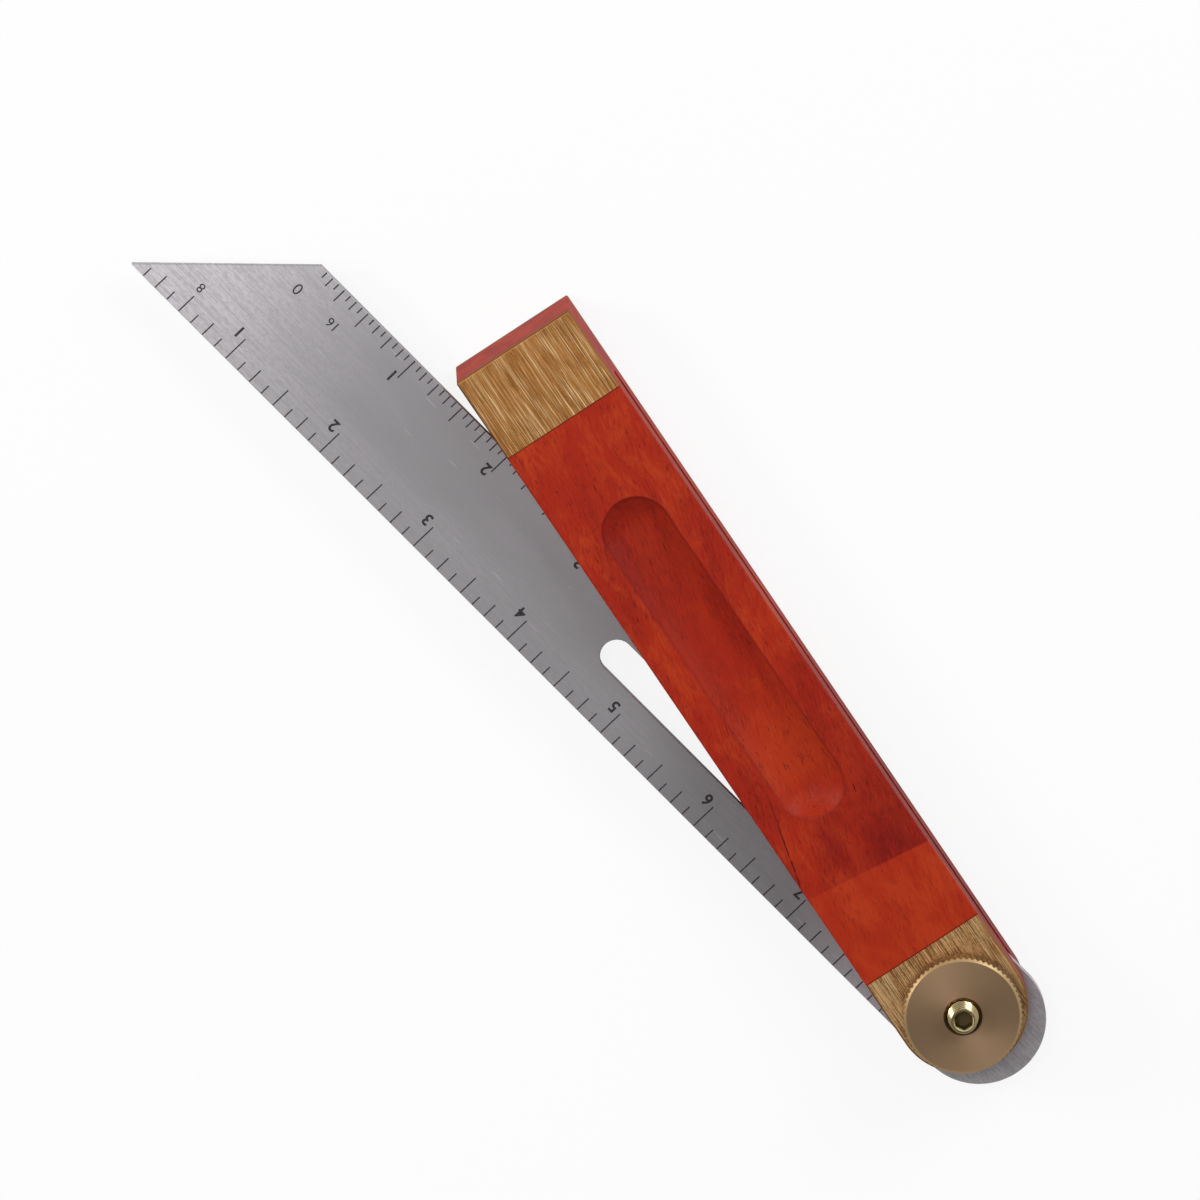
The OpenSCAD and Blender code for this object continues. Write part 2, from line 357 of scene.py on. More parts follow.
class Finish:
    """Builds the nodes of one material, or of the sky. Its sizes are in millimetres."""

    def __init__(self, owner):
        owner.use_nodes = True
        self.owner, self.tree = owner, owner.node_tree
        self.tree.nodes.clear()

    def add(self, kind, sockets=(), output=0, **settings):
        """Adds a node of a type, gives it its settings, then its sockets' values or
        links, and returns the named output."""
        node = self.tree.nodes.new("ShaderNode" + kind)
        for name, value in settings.items():
            setattr(node, name, value)
        for name, value in dict(sockets).items():
            if isinstance(value, Wire):
                self.tree.links.new(value.socket, node.inputs[name])
            else:
                node.inputs[name].default_value = value
        return Wire(self, node.outputs[output] if node.outputs else None)

    def maths(self, operation, *values):
        return self.add("Math", enumerate(values), operation=operation)

    def most(self, one, other):
        return self.maths("MAXIMUM", one, other)

    def least(self, one, other):
        return self.maths("MINIMUM", one, other)

    def spot(self):
        return self.add("TexCoord", output="Object")

    def part(self, vector, letter):
        """One coordinate of a vector."""
        return self.add("SeparateXYZ", {0: vector}, letter)

    def parts(self, spot, letters):
        """Coordinates of a place."""
        return [self.part(spot, letter) / MM for letter in letters]

    def about_z(self, spot):
        """Distance of a place from the Z axis."""
        flat = self.add("Mapping", {"Vector": spot, "Scale": (1 / MM, 1 / MM, 0.0)})
        return self.add("VectorMath", {0: flat}, "Value", operation="LENGTH")

    def turned(self, spot, angle):
        """A place turned about Z by an angle in radians."""
        return self.add("Mapping", {"Vector": spot, "Rotation": (0, 0, angle)})

    def cells(self, spot, size):
        """A place counted in the cells of a pattern."""
        return self.add("Mapping", {"Vector": spot,
                                    "Scale": tuple(1 / n / MM for n in size)})

    def noise(self, spot, size, detail=2.0, rough=0.5, distort=0.0):
        """Noise in cells of this size."""
        return self.add("TexNoise", {
            "Vector": self.cells(spot, size), "Scale": 1.0, "Detail": detail,
            "Roughness": rough, "Distortion": distort}, "Fac")

    def dashes(self, spot, size, share, reach):
        """Lens-shaped spots: this share of the cells holds one, and it reaches up to
        this part of a cell from its middle."""
        cell = dict(Vector=self.cells(spot, size), Scale=1.0)
        near = self.add("TexVoronoi", cell, "Distance")
        chance = self.part(self.add("TexVoronoi", cell, "Color"), "X")
        return self.fall(near - self.step(chance, 1 - share, 1.0, 0.0, reach), -0.03, 0.0)

    def step(self, value, low, high, start=0.0, end=1.0):
        """Smooth step of a value from start at low to end at high."""
        return self.add("MapRange", {"Value": value, "From Min": low, "From Max": high,
                                     "To Min": start, "To Max": end},
                        interpolation_type="SMOOTHSTEP")

    def fall(self, value, low, high):
        """Smooth step of a value from one at low to none at high."""
        return self.step(value, low, high, 1.0, 0.0)

    def mix(self, mask, under, above):
        """One colour over another by a mask."""
        under, above = (c if isinstance(c, Wire) else (*c, 1.0) for c in (under, above))
        return self.add("Mix", {0: mask, 6: under, 7: above}, 2, data_type="RGBA")

    def bump(self, height, depth, strength=1.0):
        return self.add("Bump", {"Strength": strength, "Distance": depth * MM,
                                 "Height": height})

    def shade(self, **sockets):
        """Ends the material in a Principled shader."""
        named = {n.replace("_", " "): v for n, v in sockets.items()}
        return self.end("Material", self.add("BsdfPrincipled", named))

    def end(self, kind, shader):
        self.add("Output" + kind, {"Surface": shader})
        return self.owner


def new_finish(name):
    return Finish(bpy.data.materials.new(name))


def scaled(tint, factor):
    return tuple(min(factor * part, 1.0) for part in tint)


GRAIN_TURN = math.radians(13)
CHECK_AT = 20.3         # place of the fine check across the grain, in millimetres
PLAIN_END = 32.5        # where the plain length beside the pivot ends, in millimetres


def scoop_ends(look):
    """Centres of a scoop's round ends along X, and their radius."""
    half = look.scoop_width / MM / 2
    return (look.scoop_near / MM - half,
            (look.scoop_near - look.scoop_length) / MM + half, half)


def scoop_distance(f, x, y, look):
    """Distance outwards from a scoop's outline: the distance to its centre line less
    half its width."""
    near, far, half = scoop_ends(look)
    beyond = f.most(f.most(x - near, far - x), 0.0)
    return (beyond ** 2 + y ** 2) ** 0.5 - half


def hardwood(look):
    """Lacquered red hardwood. Its grain runs 13 degrees off the X axis: broad dark
    bands, short feathery flecks, dash-like open pores and one fine check near the left
    edge. The length beside the pivot is plainer and more orange, and the wood is darker
    between x 30 and 95. Light and shade are painted in the scoops: painted shade darkens
    them towards the butt and draws a dark line round their edges, a darker orange tint
    lies over the lit wall at their pivot ends, and a painted highlight of lighter
    orange lies just past it."""
    f = new_finish("lacquered_hardwood")
    spot = f.spot()
    x, y, z = f.parts(spot, "XYZ")
    wave = f.noise(spot, (24, 14, 14), 1)
    sway = f.add("CombineXYZ", {"Y": (wave - 0.5) * (5 * MM),
                                "Z": (wave - 0.5) * (3 * MM)})
    warped = f.add("VectorMath", {0: spot, 1: sway}, operation="ADD")
    grain = f.turned(warped, GRAIN_TURN)
    band = f.noise(grain, (30, 5, 5), 3, 0.55)
    fleck = f.noise(grain, (3.4, 0.7, 0.7), 4, 0.6, 0.8)
    feather = f.noise(grain, (2.1, 0.36, 0.36), 3, 0.7, 0.5)
    fibre = f.noise(grain, (4, 0.22, 0.22), 2, 0.6)
    cloud = f.noise(spot, (13, 7, 7), 3, 0.6, 0.7)
    plain = f.fall(x - y * 0.12 - PLAIN_END, -0.3, 0.2) * f.step(z, 13, 14)
    rim_gap = scoop_distance(f, x, y, look)
    inside = f.fall(rim_gap, -0.3, 0.0)
    # darker between x 30 and 95, most towards -Y and less inside the scoops
    dark_stretch = (f.fall(x, 30, 95) * f.step(y, -10, 11, 1.0, 0.25) * (1 - plain)
             * (1 - inside * 0.6))
    # painted shade: the scoops darken towards their butt ends
    scoop_shade = inside * f.step(x, 62, 90, 0.0, 0.75)
    depth = band * 0.55 + fleck * 0.45 + dark_stretch * 0.24 + scoop_shade * 0.13 - plain * 0.05
    tone = f.mix(f.step(depth, 0.44, 0.84) * 0.95, look.red, look.dark)
    glow = f.step(cloud * 0.6 + fleck * 0.4, 0.44, 0.64) * (1 - dark_stretch * 0.7)
    # painted shade: a darker, more orange tint over the lit wall at each scoop's pivot end
    crescent_shade = inside * f.fall(x - abs(y) * 0.25, 47.5, 51.5)
    # painted highlight: lighter orange on the lit slope just past each scoop's pivot end
    worn = inside * f.step(x, 50, 56) * f.fall(x, 60, 78) * 0.5
    clear = f.most(plain * f.step(cloud, 0.36, 0.62, 0.2, 0.7), worn)
    tone = f.mix(f.most(glow * (1 - scoop_shade) * 0.75, clear), tone, look.orange)
    tone = f.mix(crescent_shade * 0.8, tone, look.cut)
    streak = f.step(feather, 0.50, 0.66) * (1 - plain * 0.3) * f.step(
        band + dark_stretch * 0.2, 0.35, 0.70, 0.30, 0.80)
    tone = f.mix(f.most(streak, f.step(fibre, 0.48, 0.78) * 0.34), tone, look.dark)
    wisp = f.fall(feather, 0.30, 0.44) * f.step(depth, 0.50, 0.72)
    tone = f.mix(wisp * 0.65, tone, scaled(look.red, 1.1))
    # painted shade: a dark line round each scoop's edge, strongest at its butt end
    rim_shade = f.fall(abs(rim_gap + 0.15), 0.05, 0.45) * f.step(cloud, 0.35, 0.55, 0.45)
    ends = f.step(x, 46, 60, 0.30, 0.42) + f.step(x, 108, 114) * 0.35
    tone = f.mix(rim_shade * ends, tone, look.dark)
    small = f.dashes(grain, (3.2, 0.5, 0.5), 0.42, 0.21)
    large = f.dashes(grain, (8, 0.9, 0.9), 0.22, 0.15)
    pores = f.most(small * 0.60, large * 0.85) * (1 - plain * 0.6)
    across, = f.parts(f.turned(spot, GRAIN_TURN), "Y")
    crumb = f.noise(spot, (1.6, 0.8, 0.8), 1)
    beside = abs(across - CHECK_AT + (wave - 0.5) * 1.2 + (crumb - 0.5) * 0.5)
    check = f.fall(beside, 0.05, 0.17) * f.step(crumb, 0.32, 0.46, 0.35)
    check = check * f.step(x, 27, 30) * f.fall(x, 42, 62) * f.step(z, 13, 14)
    joint = f.fall(f.least(abs(x - BUTT_X + 0.1), abs(x - PIVOT_X - 0.1)), 0.05, 0.2)
    joint = joint * f.step(abs(z - TOP / 2), TOP / 2 - 0.4, TOP / 2 - 0.1)
    marks = f.most(f.most(pores, check), joint * 0.6)
    tone = f.mix(marks, tone, look.pore)
    relief = fibre * 0.3 + feather * 0.4 - marks
    return f.shade(Base_Color=tone, Roughness=0.38 + fleck * 0.12,
                   Specular_IOR_Level=0.11, Normal=f.bump(relief, 0.03, 0.5))


def brushed_brass(look):
    """Brass plate brushed along X: fine bright hairs, thicker in some patches, over a
    browner ground. Painted light makes it paler towards the pivot and its bright hairs
    dimmer towards the butt, and painted shade darkens it along its eased edge."""
    f = new_finish("brushed_brass")
    spot = f.spot()
    x, y = f.parts(spot, "XY")
    line = f.noise(spot, (16, 0.22, 0.22), 1)
    hair = f.noise(spot, (9, 0.15, 0.15), 2, 0.65)
    grit = f.noise(spot, (0.6, 0.18, 0.18), 1)
    patch = f.noise(spot, (8, 5, 5), 2, 0.5, 0.4)
    ground = patch * 0.22 + hair * 0.62 + grit * 0.16
    # painted light: paler brass towards the pivot
    lit_tone = f.mix(f.fall(x, 10, 140), look.plate, look.plate_rubbed)
    tone = f.mix(f.step(ground, 0.425, 0.545, 0.95, 0.0), lit_tone, look.plate_dark)
    bright = f.step(hair * 0.5 + line * 0.5, 0.53, 0.60)
    bright = bright * f.step(patch, 0.35, 0.62, 0.45) * 0.9
    # painted light: bright hairs laid dimmer towards the butt
    painted_dimming = f.step(x, BUTT_X, LENGTH, 1.0, 0.6)
    tone = f.mix(bright * painted_dimming, tone, look.plate_light)
    outer = (f.most(0 - x, 0.0) ** 2 + y ** 2) ** 0.5
    # painted shade: the eased edge is darkened to tone down its bright reflection
    worn = f.most(f.step(outer, HALF_WIDTH - 0.42, HALF_WIDTH - 0.22),
                  f.step(x, LENGTH - 0.42, LENGTH - 0.22))
    tone = f.mix(worn * 0.9, tone, look.plate_dark)
    return f.shade(Base_Color=tone, Metallic=1.0, Roughness=0.37 + hair * 0.14,
                   Normal=f.bump(hair + line, 0.006, 0.5))


def turned_brass(look, clamp):
    """Brass faced in a lathe: fine rings about the Z axis that fan the light out and a
    barer chamfer, with painted shade over the knurled flank and round the bore's mouth."""
    f = new_finish("turned_brass")
    spot = f.spot()
    radius = f.about_z(spot)
    rings = f.add("TexNoise", {"W": radius * 7.0, "Scale": 1.0, "Detail": 4.0,
                               "Roughness": 0.7}, noise_dimensions="1D")
    stain = f.noise(spot, (5, 5, 5), 4, 0.6)
    height, = f.parts(spot, "Z")
    face_r = NUT_R - clamp.chamfer / MM
    edge = f.step(radius, face_r - 0.1, face_r)
    below = f.fall(height + radius - (NUT_TOP + face_r), -0.22, -0.06)
    tone = f.mix(f.step(stain, 0.35, 0.75) * 0.25, look.nut, scaled(look.nut, 0.78))
    tone = f.mix(edge, tone, look.nut_rim)
    # painted shade: the whole knurled flank below the chamfer is darkened, and more faintly a
    # ring round the bore's mouth
    painted_shade = f.most(edge * below * 0.9, f.fall(radius, 3.66, 3.76) * 0.3)
    tone = f.mix(painted_shade, tone, scaled(look.nut, 0.22))
    return f.shade(Base_Color=tone, Metallic=1.0, Roughness=0.33 + stain * 0.10,
                   Anisotropic=0.45, Anisotropic_Rotation=0.25,
                   Normal=f.bump(rings, 0.004, 0.35))


def bright_brass(look, clamp):
    """Machined brass with a few darker smears, and painted shade inside the hex socket
    and in the thread's grooves, where the radius falls short of the tapered crest's."""
    f = new_finish("bright_brass")
    spot = f.spot()
    smear = f.noise(spot, (1.6, 1.6, 0.7), 4, 0.65)
    radius = f.about_z(spot)
    height, = f.parts(spot, "Z")
    below = STUD_TOP - height
    bottom, start = clamp.hex_depth / MM, STUD_TOP - clamp.thread_from / MM
    # painted shade: inside the hex socket is laid in the dark socket colour
    inside = f.fall(radius, 1.95, 2.05) * f.step(below, 0.12, 0.4) * f.fall(
        below, bottom + 0.2, bottom + 0.6)
    tapered = f.least(f.most(1 - below * MM / clamp.lead_length, 0.0), 1.0)
    crest = clamp.stud_radius / MM - tapered * (clamp.lead_depth / MM)
    # painted shade: darker in the thread's grooves
    groove_shade = f.step(crest - radius, 0.08, 0.28) * f.step(below, 0.15, 0.35) * f.fall(
        below, start - 1, start)
    tone = f.mix(f.step(smear, 0.5, 0.8) * 0.5, look.stud, scaled(look.stud, 0.5))
    tone = f.mix(groove_shade * 0.75, tone, scaled(look.stud, 0.25))
    tone = f.mix(inside * 0.93, tone, look.socket)
    return f.shade(Base_Color=tone, Metallic=1.0,
                   Roughness=0.18 + smear * 0.12 + inside * 0.3)


def satin_steel(look):
    """Steel sheet ground lengthwise: hair scratches along the blade's own axis and a few
    short bright ones. Painted shade darkens the stretch that lies beside the stock at
    rest, lighter towards the edge that carries the eighths and darkest near the pivot,
    and fades out towards the tip."""
    f = new_finish("satin_steel")
    grain = f.turned(f.spot(), -math.atan2(ALONG[1], ALONG[0]))
    hair = f.noise(grain, (10, 0.30, 2), 4, 0.7)
    grit = f.noise(grain, (0.9, 0.5, 0.9), 3, 0.7)
    cloud = f.noise(grain, (26, 11, 11), 3, 0.5, 0.4)
    short = f.dashes(grain, (11, 0.6, 11), 0.35, 0.16)
    along, across = f.parts(grain, "XY")
    # painted shade: darker over the stretch beside the stock, fading out towards the tip
    beside = f.step(along, 5, 40) * f.fall(along, 160, 207)
    # painted shade: darkest near the pivot
    pivot_shade = f.step(along, 14, 38) * f.fall(along, 60, 84)
    tone = look.steel
    for mask, factor in ((beside * f.step(across, 0, 9, 0.98, 0.72), 0.50),
                         (f.step(cloud, 0.3, 0.75) * 0.4, 0.72), (pivot_shade * 0.5, 0.28),
                         (f.step(hair * 0.6 + grit * 0.4, 0.40, 0.60) * 0.6, 0.52),
                         (short * 0.3, 1.25)):
        tone = f.mix(mask, tone, scaled(look.steel, factor))
    return f.shade(Base_Color=tone, Metallic=0.9,
                   Roughness=0.31 + hair * 0.12 + grit * 0.05,
                   Normal=f.bump(hair + grit * 0.5, 0.008, 0.5))


def plain_steel():
    """Stamped washer steel, slightly cloudy."""
    f = new_finish("washer_steel")
    cloud = f.noise(f.spot(), (3, 3, 3), 3, 0.6)
    tone = f.mix(cloud, (0.36, 0.35, 0.34), (0.50, 0.49, 0.47))
    return f.shade(Base_Color=tone, Metallic=1.0, Roughness=0.32 + cloud * 0.12)


def etched_line(look):
    """Dark etch with a slightly grainy strength."""
    f = new_finish("etched_line")
    grain = f.noise(f.spot(), (0.4, 0.4, 0.4), 3, 0.6)
    tone = f.mix(f.step(grain, 0.4, 0.8) * 0.6, look.etch, scaled(look.etch, 2.6))
    return f.shade(Base_Color=tone, Metallic=0.0, Roughness=0.55,
                   Specular_IOR_Level=0.2)


# ---------------- the stock

def stock_half(look):
    """The stock's outline over +Y from the butt's middle to the pivot end, as inset
    points and outward directions of its three sections: butt, middle and pivot."""
    ease = look.ease / MM
    y, end = HALF_WIDTH - ease, LENGTH - ease
    corner, bow = heading(np.linspace(0, 90, 9)), heading(np.linspace(90, 180, 37))

    def side(x0, x1, count):
        return np.linspace([x0, y], [x1, y], count), np.tile([0.0, 1.0], (count, 1))

    heel_x = look.kerf_end / MM
    butt = [([[end, 0.0], [end, y]], [[1.0, 0.0]] * 2),
            ([[end, y]] * len(corner), corner), side(end, heel_x, 5),
            side(heel_x, BUTT_X, 2)]
    middle = [side(BUTT_X, PIVOT_X, 24)]
    pivot = [side(PIVOT_X, 0.0, 5), (bow * y, bow)]
    return [tuple(np.vstack(part) for part in zip(*pieces))
            for pieces in (butt, middle, pivot)]


def scoop_section(look):
    """Distance from the scoop's centre line and height, from its softened edge to the
    bottom: a small arc of radius s rolls over onto a ball of radius b sunk d deep."""
    wide, deep, soft = (v / MM for v in (look.scoop_width / 2, look.scoop_depth,
                                         look.scoop_soft))
    ball = (wide ** 2 + deep ** 2) / (2 * deep)
    rise = ball - deep
    from_centre = math.sqrt((ball + soft) ** 2 - (rise + soft) ** 2)
    slope = math.atan2(from_centre, rise + soft)
    a, b = np.linspace(0, slope, 6), np.linspace(slope, 0, 14)[1:]
    spread = np.concatenate([from_centre - soft * np.sin(a), ball * np.sin(b)])
    level = np.concatenate([TOP - soft + soft * np.cos(a), TOP + rise - ball * np.cos(b)])
    return spread, level


def add_cheek(shell, look, bore):
    """One face of the stock with half its sides. bore is the (r, z) path of its hole
    from the plate's room to the kerf."""
    ease, kerf_x = look.ease / MM, look.kerf_end / MM
    floor, roof = bore[0][1], bore[-1][1]
    butt, middle, pivot = stock_half(look)
    inset, out = (np.vstack(part) for part in zip(butt, middle, pivot))
    spread, level = eased(ease, [floor, roof])
    top = np.repeat([floor, TOP, floor], [len(butt[0]), len(middle[0]), len(pivot[0])])
    levels = np.minimum(level, top[:, None])
    for side in (1, -1):
        flip = np.array([1, side])
        shell.grid(rim(inset * flip, out * flip, spread, levels))
        heel = butt[0][:, 0] >= kerf_x - 1e-6
        shell.grid(rim(butt[0][heel] * flip, butt[1][heel] * flip,
                       np.array([ease, ease]), [roof, TOP / 2]))
        for x, z0, z1, y in ((BUTT_X, TOP, floor, HALF_WIDTH - ease),
                             (PIVOT_X, TOP, floor, HALF_WIDTH - ease),
                             (kerf_x, roof, TOP / 2, HALF_WIDTH)):
            shell.face(np.array([[x, 0, z0], [x, side * y, z0],
                                 [x, side * y, z1], [x, 0, z1]]))
        shell.face(at_level(np.vstack([butt[0], [BUTT_X, 0]]) * flip, floor))
    near, far, _ = scoop_ends(look)
    centre, away = long_half(near, far, 12)
    spread, level = scoop_section(look)
    for side in (1, -1):
        shell.grid(rim(centre, away * (1, side), spread, level))
    half_faces(shell, np.vstack([[BUTT_X, 0], middle[0], [PIVOT_X, 0]]),
               centre + away * spread[0], TOP)
    turn = heading(HALF_TURN)
    half_faces(shell, np.vstack([[PIVOT_X, 0], pivot[0]]), turn * bore[0][0], floor)
    wall = inset + out * ease
    under = wall[wall[:, 0] <= kerf_x + 1e-6]
    half_faces(shell, np.vstack([[kerf_x, 0], under]), turn * bore[-1][0], roof)
    bore_wall(shell, bore)


class BEVEL_OT_stock(bpy.types.Operator):
    """Builds the wooden stock with its kerf, finger scoops and rooms for the plates"""
    bl_idname = "sliding_bevel.stock"
    bl_label = "Stock"

    def execute(self, context):
        look = context.scene.bevel_stock
        roof = node_box("blade_washer_front")[1][2] + look.kerf_play / MM
        hole, head, deep = (v / MM for v in (look.stud_hole, look.head_hole,
                                             look.head_deep))
        shell, floor = Shell(), TOP - PLATE_T
        add_cheek(shell, look, [(hole, floor), (hole, roof)])
        shell.over = turned_over
        add_cheek(shell, look, [(head, floor), (head, TOP - deep), (hole, TOP - deep),
                                (hole, roof)])
        stock = shell.piece("wood_stock", "stock", "hardwood", hardwood(look))
        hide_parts("stock")
        return {"FINISHED"}


# ---------------- the brass plates

def plate(look, over, section, end, hole=None):
    """A plate over one section of the stock, 0 at the butt or 2 at the pivot, eased like
    it and cut off square at x = end, with a hole if this has a radius. over turns it to
    its face."""
    shell, ease, low = Shell(over), look.ease / MM, TOP - PLATE_T
    inset, out = stock_half(look)[section]
    keep = inset[:, 0] < end if section else inset[:, 0] > end
    at = 0 if section else np.count_nonzero(keep)
    inset = np.insert(inset[keep], at, [end, HALF_WIDTH - ease], 0)
    out = np.insert(out[keep], at, [0, 1], 0)
    spread, level = eased(ease, [low])
    for side in (1, -1):
        flip = np.array([1, side])
        skin = rim(inset * flip, out * flip, spread, level)
        shell.grid(skin)
        shell.face(np.vstack([[end, 0, TOP], skin[at], [end, 0, low]]))
    middle = np.array([[end, 0.0]])
    if hole is None:
        half_faces(shell, inset, middle, TOP)
        half_faces(shell, inset + out * ease, middle, low)
        return shell
    turn, lip = heading(HALF_TURN), 0.08
    half_faces(shell, np.vstack([middle, inset]), turn * (hole + lip), TOP)
    half_faces(shell, np.vstack([middle, inset + out * ease]), turn * hole, low)
    bore_wall(shell, [(hole + lip, TOP), (hole, TOP - lip), (hole, low)])
    return shell


class BEVEL_OT_plates(bpy.types.Operator):
    """Builds the four brushed brass plates that are let into the stock's faces"""
    bl_idname = "sliding_bevel.plates"
    bl_label = "Brass plates"

    def execute(self, context):
        look = context.scene.bevel_stock
        brass = brushed_brass(context.scene.bevel_brass)
        gap = look.plate_gap / MM
        for face, over, hole in (("front", None, look.stud_hole / MM),
                                 ("back", turned_over, look.head_hole / MM)):
            for kind, shell in (("butt", plate(look, over, 0, BUTT_X + gap)),
                                ("pivot", plate(look, over, 2, PIVOT_X - gap, hole))):
                node = f"{kind}_plate_{face}"
                piece = shell.piece("brass_" + node, "stock", "plate_brass", brass)
                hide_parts(node)
        return {"FINISHED"}


# ---------------- the blade

def to_frame(points):
    """Turns points (..., 3) from the blade's axes to the row frame."""
    flat = points[..., :1] * ALONG + points[..., 1:2] * ACROSS
    return np.concatenate([flat, points[..., 2:]], -1)


def blade_halves(edge):
    """Inset outline and outward directions from the middle of the slanting cut to the
    round tail, first over +Y past the pointed corner, then over -Y."""
    y, tail = BLADE_HALF - edge, TAIL_END + BLADE_HALF
    middle = TIP_X - BLADE_HALF - edge * math.sqrt(2)
    halves = []
    for side in (1, -1):
        corner = [middle + side * y, side * y]
        fan = heading(np.linspace(-45, 90 * side, 13))
        long = np.linspace(corner, [tail, side * y], 30)
        bow = heading(np.linspace(90, 180, 49)) * (1, side)
        halves.append((np.vstack([[middle, 0], [corner] * len(fan), long,
                                  [tail, 0] + bow * y]),
                       np.vstack([heading(-45), fan, [[0, side]] * len(long), bow])))
    return halves


class BEVEL_OT_blade(bpy.types.Operator):
    """Builds the slotted steel blade with its slanting tip and round tail"""
    bl_idname = "sliding_bevel.blade"
    bl_label = "Blade"

    def execute(self, context):
        look = context.scene.bevel_blade
        edge, radius = look.edge / MM, look.slot_radius / MM
        spread = np.array([0, edge, edge, 0])
        level = np.array([BLADE_TOP, BLADE_TOP - edge, BLADE_BOTTOM + edge, BLADE_BOTTOM])
        centre, out = long_half(look.slot_end / MM, look.slot_start / MM)
        shell = Shell(to_frame)
        for side, (inset, away) in zip((1, -1), blade_halves(edge)):
            flip = np.array([1, side])
            shell.grid(rim(inset, away, spread, level))
            shell.grid(rim(centre, out * flip, radius + edge - spread, level))
            hole = (centre + out * (radius + edge)) * flip
            for height in (BLADE_TOP, BLADE_BOTTOM):
                shell.face(at_level(np.vstack([inset, hole[::-1]]), height))
        blade = shell.piece("steel_blade", "blade", "blade_steel", satin_steel(look))
        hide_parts("blade")
        return {"FINISHED"}


ETCH_LOW, ETCH_HIGH = -0.03, 0.006      # heights of the etch about the blade's face
BOX_FACES = np.array([[0, 3, 2, 1], [4, 5, 6, 7], [0, 1, 5, 4], [1, 2, 6, 5],
                      [2, 3, 7, 6], [3, 0, 4, 7]])
FONT_DIGIT = 0.73       # height of a digit in a font of size 1
NUMBER_WEIGHT = 0.08    # millimetres added to the strokes of the inch numbers


def ticks(look, zero, edge_side, per_inch, count, lengths):
    """Boxes (n, 8, 3) of the marks along one edge: mark i stands i / per_inch inches
    from the zero towards the tail. lengths holds a length for each part of an inch,
    from the finest to the whole."""
    i = np.arange(1, count + 1)[:, None]
    rank = sum(i % 2 ** power == 0 for power in range(1, len(lengths)))
    start = edge_side * (BLADE_HALF - look.edge / MM)
    sx, sy, sz = np.array([(sx, sy, sz) for sz in (0, 1) for sx, sy in
                           ((-1, 0), (1, 0), (1, 1), (-1, 1))]).T
    return np.stack(np.broadcast_arrays(
        zero - i * look.inch / MM / per_inch + sx * look.line / MM / 2,
        start - edge_side * sy * np.array(lengths)[rank],
        BLADE_TOP + ETCH_LOW + sz * (ETCH_HIGH - ETCH_LOW)), -1)


def figure_mesh(text, height, x, y, weight):
    """Points and faces of a number from the built-in font: a closed thin plate, centred
    at x, y in the blade's axes and read with the tip to the right."""
    curve = bpy.data.curves.new("figure", "FONT")
    curve.body, curve.size = text, height * MM / FONT_DIGIT
    curve.align_x = "CENTER"
    curve.offset = weight * MM
    curve.extrude = (ETCH_HIGH - ETCH_LOW) / 2 * MM
    curve.resolution_u = 4
    letter = put("figure", curve)
    bpy.context.view_layer.update()
    depsgraph = bpy.context.evaluated_depsgraph_get()
    mesh = bpy.data.meshes.new_from_object(letter.evaluated_get(depsgraph))
    bpy.data.objects.remove(letter)
    co = vertices(mesh)
    co[:, :2] += (x, y) - (co[:, :2].min(0) + co[:, :2].max(0)) / 2
    co[:, 2] += BLADE_TOP + (ETCH_LOW + ETCH_HIGH) / 2
    faces = [[list(p.vertices)] for p in mesh.polygons]
    bpy.data.meshes.remove(mesh)
    return co, *faces


class BEVEL_OT_marks(bpy.types.Operator):
    """Etches the eighths and sixteenths of an inch and their numbers on the blade"""
    bl_idname = "sliding_bevel.marks"
    bl_label = "Graduations"

    def execute(self, context):
        look = context.scene.bevel_blade
        inch, digit = look.inch / MM, look.digit / MM
        cut = TIP_X - 2 * BLADE_HALF
        boxes = np.concatenate([
            ticks(look, TIP_X, 1, 8, 64, (2.1, 3.1, 4.1, 5.2)),
            ticks(look, cut, -1, 16, 112, (1.4, 2.1, 3.0, 3.6, 4.7))])
        shell = Shell(to_frame)
        index = np.arange(len(boxes))[:, None, None] * 8 + BOX_FACES
        shell.add(boxes.reshape(-1, 3), index.reshape(-1, 4))
        labels = [(str(n), digit, TIP_X - n * inch + 1.8, BLADE_HALF - 5.5, NUMBER_WEIGHT)
                  for n in range(1, 9)]
        labels += [(str(n), digit, cut - n * inch + 1.1, 5.2 - BLADE_HALF, NUMBER_WEIGHT)
                   for n in range(1, 8)]
        labels += [("0", digit, cut, 6.3 - BLADE_HALF, 0.0),
                   ("8", 2.0, TIP_X - 12.5, BLADE_HALF - 6.2, 0.0),
                   ("16", 2.0, TIP_X - 34.7, 6.4 - BLADE_HALF, 0.0)]
        for label in labels:
            shell.add(*figure_mesh(*label))
        shell.piece("etched_scale", "blade", "blade_steel", etched_line(look))
        return {"FINISHED"}


# ---------------- stud, nut, washers

def thread_cut(angle, height, look):
    """Depth of a right-handed thread under its crest: a triangle wave of height / pitch
    - angle / full turn, with flat crests and roots."""
    turns = height / (look.pitch / MM) - angle / (2 * math.pi)
    wave = np.abs(2 * (turns - np.floor(turns + 0.5)))
    return look.thread_depth / MM * np.clip((wave - 0.1) / 0.75, 0, 1)


def profile(angle, start, radius, level, end):
    """Radii (n, k) and levels (k,) along a turned piece, at n angles: (r, z) points, a
    block of radii (n, m) at m levels, and more points. r may hold a radius per angle."""
    radii = [*(r for r, _ in start), radius, *(r for r, _ in end)]
    return (np.hstack([np.zeros_like(angle) + r for r in radii]),
            [*(z for _, z in start), *level, *(z for _, z in end)])


